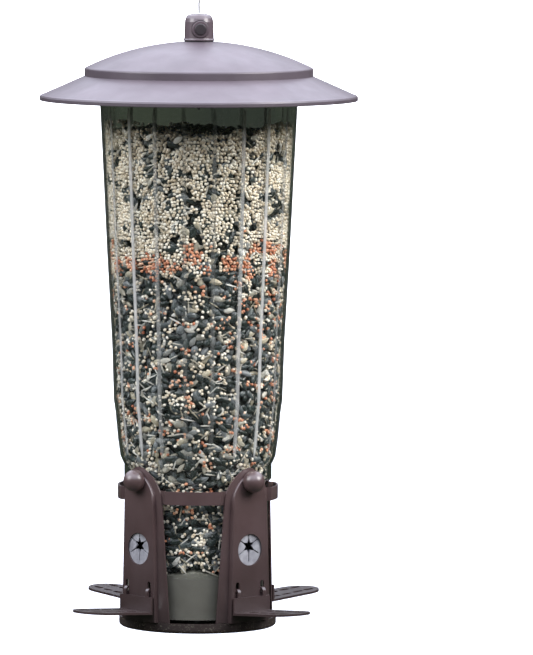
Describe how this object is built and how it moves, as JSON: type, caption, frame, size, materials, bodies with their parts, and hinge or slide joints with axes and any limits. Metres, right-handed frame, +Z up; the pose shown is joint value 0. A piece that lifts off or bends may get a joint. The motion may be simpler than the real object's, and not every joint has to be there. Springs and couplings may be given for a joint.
{
  "type": "hanging tube bird feeder",
  "caption": "Hanging tube feeder for small birds: clear fluted seed reservoir under a two-tier round cap, in a spring-hung metal shroud whose pillars close the ports.",
  "frame": {"origin": "centre of the tray's underside", "axes": "+Z up along the tube's axis; the four pillars stand on -Y, +X, +Y and -X"},
  "size_m": [0.223, 0.223, 0.512],
  "materials": {
    "clear_plastic": "clear, fluted",
    "olive_plastic": "satin",
    "black_plastic": "matte",
    "port_rubber": "translucent, matte",
    "black_rubber": "matte",
    "steel_cable": "stranded",
    "aluminium": "swaged",
    "white_nylon": "natural",
    "zinc_steel": "zinc plated",
    "brown_plastic": "satin",
    "tray_paint": "satin, speckled",
    "brown_paint": "satin powder coat"
  },
  "bodies": {
    "reservoir": {"reservoir_tube": "clear_plastic", "seed_baffle": "olive_plastic", "spring_tower": "olive_plastic", "reservoir_floor": "olive_plastic", "floor_screws": "zinc_steel", "main_spring": "zinc_steel", "hanger_bar": "zinc_steel", "bar_screws": "zinc_steel", "cable_stop": "aluminium", "hanger_cable": "steel_cable", "cable_ferrule": "aluminium", "cable_loop": "steel_cable", "port_housing_front": "black_plastic", "port_housing_right": "black_plastic", "port_housing_rear": "black_plastic", "port_housing_left": "black_plastic", "flex_port_front": "port_rubber", "flex_port_right": "port_rubber", "flex_port_rear": "port_rubber", "flex_port_left": "port_rubber"},
    "shroud": {"base_tray": "tray_paint", "band_rivets": "brown_paint", "foot_rivets": "zinc_steel", "spring_rod": "zinc_steel", "base_screw": "zinc_steel", "spring_washer": "zinc_steel", "rod_nut": "zinc_steel", "pillar_front": "brown_paint", "pillar_right": "brown_paint", "pillar_rear": "brown_paint", "pillar_left": "brown_paint", "ball_knob_front": "brown_paint", "ball_knob_right": "brown_paint", "ball_knob_rear": "brown_paint", "ball_knob_left": "brown_paint", "neck_glide_front": "black_plastic", "neck_glide_right": "black_plastic", "neck_glide_rear": "black_plastic", "neck_glide_left": "black_plastic", "band_front_right": "brown_paint", "band_rear_right": "brown_paint", "band_rear_left": "brown_paint", "band_front_left": "brown_paint"},
    "perch_front": {"perch_front": "brown_paint"},
    "perch_right": {"perch_right": "brown_paint"},
    "perch_rear": {"perch_rear": "brown_paint"},
    "perch_left": {"perch_left": "brown_paint"},
    "cap_slider": {"cable_grommet": "white_nylon"},
    "cap": {"cap_brim": "brown_paint", "cap_dome": "brown_paint", "cap_liner": "black_plastic", "cap_rivets": "zinc_steel", "cap_knob": "brown_plastic", "button_bezel": "brown_plastic", "button_spring": "zinc_steel", "knob_gasket": "black_rubber", "knob_nut": "zinc_steel"},
    "button": {"lock_button": "brown_plastic"}
  },
  "joints": [
    {"name": "shroud_drop", "type": "slide", "parent": "reservoir", "child": "shroud", "axis": [0, 0, -1], "range_m": [0, 0.022], "stiffness_N_per_m": 140, "springref_m": -0.0465, "deforming": ["main_spring"]},
    {"name": "perch_front_tilt", "type": "hinge", "parent": "shroud", "child": "perch_front", "pos_m": [0, -0.0546, 0.0278], "axis": [-1, 0, 0], "range_deg": [0, 45]},
    {"name": "perch_right_tilt", "type": "hinge", "parent": "shroud", "child": "perch_right", "pos_m": [0.0546, 0, 0.0278], "axis": [0, -1, 0], "range_deg": [0, 45]},
    {"name": "perch_rear_tilt", "type": "hinge", "parent": "shroud", "child": "perch_rear", "pos_m": [0, 0.0546, 0.0278], "axis": [1, 0, 0], "range_deg": [0, 45]},
    {"name": "perch_left_tilt", "type": "hinge", "parent": "shroud", "child": "perch_left", "pos_m": [-0.0546, 0, 0.0278], "axis": [0, 1, 0], "range_deg": [0, 45]},
    {"name": "cap_lift", "type": "slide", "parent": "reservoir", "child": "cap_slider", "axis": [0, 0, 1], "range_m": [0, 0.053]},
    {"name": "cap_turn", "type": "hinge", "parent": "cap_slider", "child": "cap", "pos_m": [0, 0, 0.42], "axis": [0, 0, 1], "continuous": true},
    {"name": "button_press", "type": "slide", "parent": "cap", "child": "button", "axis": [-0.8161, 0.5779, 0], "range_m": [0, 0.003], "stiffness_N_per_m": 600, "springref_m": -0.003, "deforming": ["button_spring"]}
  ]
}
